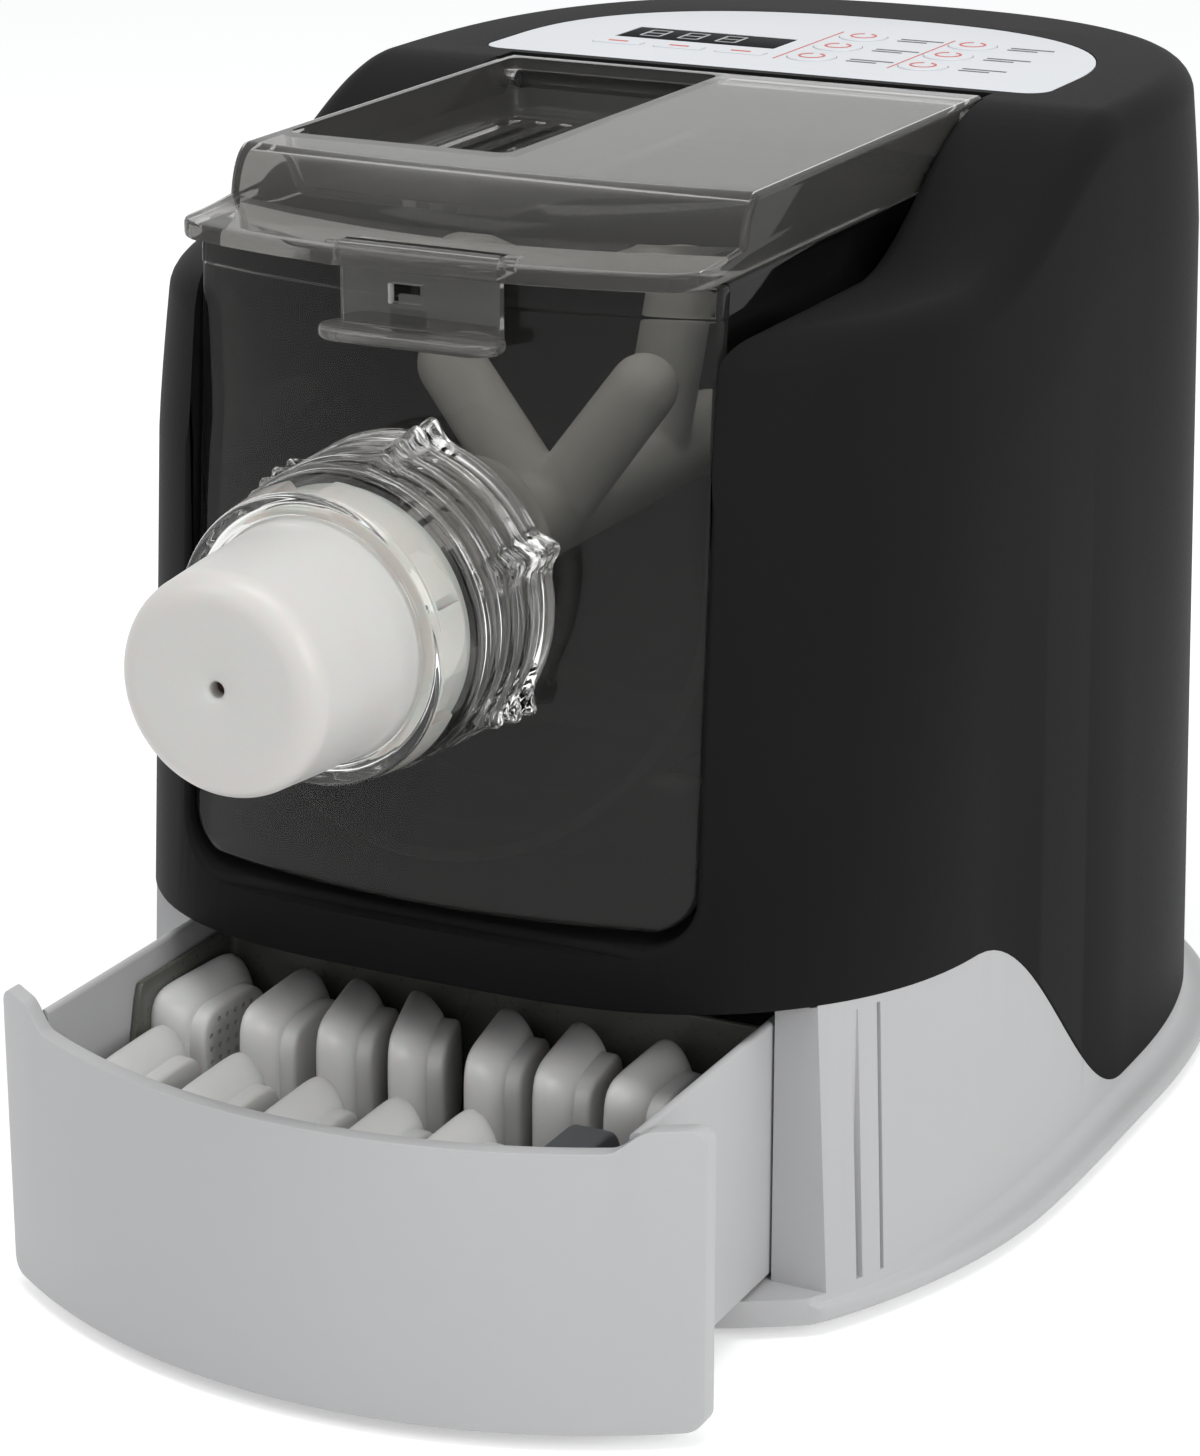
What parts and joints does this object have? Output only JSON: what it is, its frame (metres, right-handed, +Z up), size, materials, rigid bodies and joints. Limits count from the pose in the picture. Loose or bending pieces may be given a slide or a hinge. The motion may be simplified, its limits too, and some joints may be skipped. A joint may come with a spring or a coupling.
{
  "type": "electric pasta maker",
  "caption": "Countertop electric pasta maker with a clear mixing drum, hinged lid, screw-on shaping die at the front, and a drawer of spare dies below.",
  "frame": {"origin": "under the middle of the whole object, on the surface it stands on", "axes": "+X to the right when facing the nozzle, -Y out of the nozzle towards the user, +Z up"},
  "size_m": [0.2618, 0.4436, 0.2915],
  "materials": {
    "housing_black": "satin moulded",
    "base_grey": "fine satin",
    "foot_rubber": "matte",
    "smoke_clear": "smoky clear polycarbonate, polished",
    "clear": "clear polycarbonate, polished",
    "white_plastic": "smooth moulded",
    "steel": "ground",
    "dark_grey": "moulded",
    "motor_steel": "drawn steel can",
    "black_plastic": "moulded",
    "rack_tray": "dark translucent tray",
    "panel_grey": "printed film",
    "display_dark": "polished window",
    "board_green": "solder mask"
  },
  "bodies": {
    "machine": {"main_housing": "housing_black", "base_tub": "base_grey", "base_deck": "base_grey", "foot_front_left": "foot_rubber", "foot_front_right": "foot_rubber", "foot_rear_left": "foot_rubber", "foot_rear_right": "foot_rubber", "drawer_rail_left": "base_grey", "drawer_rail_right": "base_grey", "mixing_drum": "smoke_clear", "drum_front_plate": "smoke_clear", "shaft_bearing": "steel", "gearbox_case": "dark_grey", "gearbox_cover": "dark_grey", "idler_shaft": "steel", "motor_can": "motor_steel", "control_panel": "panel_grey", "display_window": "display_dark", "control_board": "board_green", "power_inlet": "black_plastic"},
    "drawer": {"drawer_front": "base_grey", "drawer_box": "base_grey", "die_rack": "rack_tray", "die_rear_1": "white_plastic", "die_rear_2": "white_plastic", "die_rear_3": "white_plastic", "die_rear_4": "white_plastic", "die_rear_5": "white_plastic", "die_rear_6": "white_plastic", "die_rear_7": "white_plastic", "die_front_1": "white_plastic", "die_front_2": "white_plastic", "die_front_3": "white_plastic", "die_front_4": "white_plastic", "die_front_5": "white_plastic", "dough_cutter": "dark_grey"},
    "lid_assembly": {"lid": "smoke_clear", "lid_pin_left": "steel", "lid_pin_right": "steel", "latch_pin": "steel"},
    "latch": {"lid_latch": "smoke_clear"},
    "mixer": {"mixing_paddle": "white_plastic", "auger_screw": "white_plastic", "output_shaft": "steel", "output_gear": "white_plastic"},
    "idler": {"idler_gear": "white_plastic"},
    "motor_rotor": {"motor_pinion": "steel", "motor_shaft": "steel", "cooling_fan": "black_plastic"},
    "die_head": {"nozzle_die": "white_plastic"},
    "nut": {"ring_nut": "clear"},
    "key_bar_1_body": {"key_bar_1": "panel_grey"},
    "key_bar_2_body": {"key_bar_2": "panel_grey"},
    "key_bar_3_body": {"key_bar_3": "panel_grey"},
    "key_round_1_body": {"key_round_1": "panel_grey"},
    "key_round_2_body": {"key_round_2": "panel_grey"},
    "key_round_3_body": {"key_round_3": "panel_grey"},
    "key_round_4_body": {"key_round_4": "panel_grey"},
    "key_round_5_body": {"key_round_5": "panel_grey"},
    "key_round_6_body": {"key_round_6": "panel_grey"}
  },
  "joints": [
    {"name": "drawer_slide", "type": "slide", "parent": "machine", "child": "drawer", "axis": [0, -1, 0], "range_m": [-0.06, 0.07]},
    {"name": "lid_hinge", "type": "hinge", "parent": "machine", "child": "lid_assembly", "pos_m": [0, 0.05519, 0.285], "axis": [-1, 0, 0], "range_deg": [0, 75]},
    {"name": "latch_hinge", "type": "hinge", "parent": "lid_assembly", "child": "latch", "pos_m": [0, -0.12231, 0.2756], "axis": [-1, 0, 0], "range_deg": [0, 20]},
    {"name": "paddle_spin", "type": "hinge", "parent": "machine", "child": "mixer", "pos_m": [0, -0.02681, 0.1945], "axis": [0, 1, 0], "continuous": true},
    {"name": "idler_spin", "type": "hinge", "parent": "machine", "child": "idler", "pos_m": [0, 0.08119, 0.1465], "axis": [0, 1, 0], "continuous": true},
    {"name": "motor_spin", "type": "hinge", "parent": "machine", "child": "motor_rotor", "pos_m": [0.02985, 0.08819, 0.12637], "axis": [0, 1, 0], "continuous": true},
    {"name": "die_slide", "type": "slide", "parent": "machine", "child": "die_head", "axis": [0, -1, 0], "range_m": [0, 0.0061]},
    {"name": "nut_turn", "type": "hinge", "parent": "die_head", "child": "nut", "pos_m": [0, -0.15381, 0.1945], "axis": [0, 1, 0], "range_deg": [0, 540]},
    {"name": "key_bar_1_press", "type": "slide", "parent": "machine", "child": "key_bar_1_body", "axis": [0, 0, -1], "range_m": [0, 0.0006], "stiffness_N_per_m": 400},
    {"name": "key_bar_2_press", "type": "slide", "parent": "machine", "child": "key_bar_2_body", "axis": [0, 0, -1], "range_m": [0, 0.0006], "stiffness_N_per_m": 400},
    {"name": "key_bar_3_press", "type": "slide", "parent": "machine", "child": "key_bar_3_body", "axis": [0, 0, -1], "range_m": [0, 0.0006], "stiffness_N_per_m": 400},
    {"name": "key_round_1_press", "type": "slide", "parent": "machine", "child": "key_round_1_body", "axis": [0, 0, -1], "range_m": [0, 0.0006], "stiffness_N_per_m": 400},
    {"name": "key_round_2_press", "type": "slide", "parent": "machine", "child": "key_round_2_body", "axis": [0, 0, -1], "range_m": [0, 0.0006], "stiffness_N_per_m": 400},
    {"name": "key_round_3_press", "type": "slide", "parent": "machine", "child": "key_round_3_body", "axis": [0, 0, -1], "range_m": [0, 0.0006], "stiffness_N_per_m": 400},
    {"name": "key_round_4_press", "type": "slide", "parent": "machine", "child": "key_round_4_body", "axis": [0, 0, -1], "range_m": [0, 0.0006], "stiffness_N_per_m": 400},
    {"name": "key_round_5_press", "type": "slide", "parent": "machine", "child": "key_round_5_body", "axis": [0, 0, -1], "range_m": [0, 0.0006], "stiffness_N_per_m": 400},
    {"name": "key_round_6_press", "type": "slide", "parent": "machine", "child": "key_round_6_body", "axis": [0, 0, -1], "range_m": [0, 0.0006], "stiffness_N_per_m": 400}
  ],
  "couplings": [
    {"joint": "idler_spin", "follows": "paddle_spin", "ratio": -3},
    {"joint": "motor_spin", "follows": "paddle_spin", "ratio": 9},
    {"joint": "die_slide", "follows": "nut_turn", "m_per_rad": 0.00063662}
  ]
}
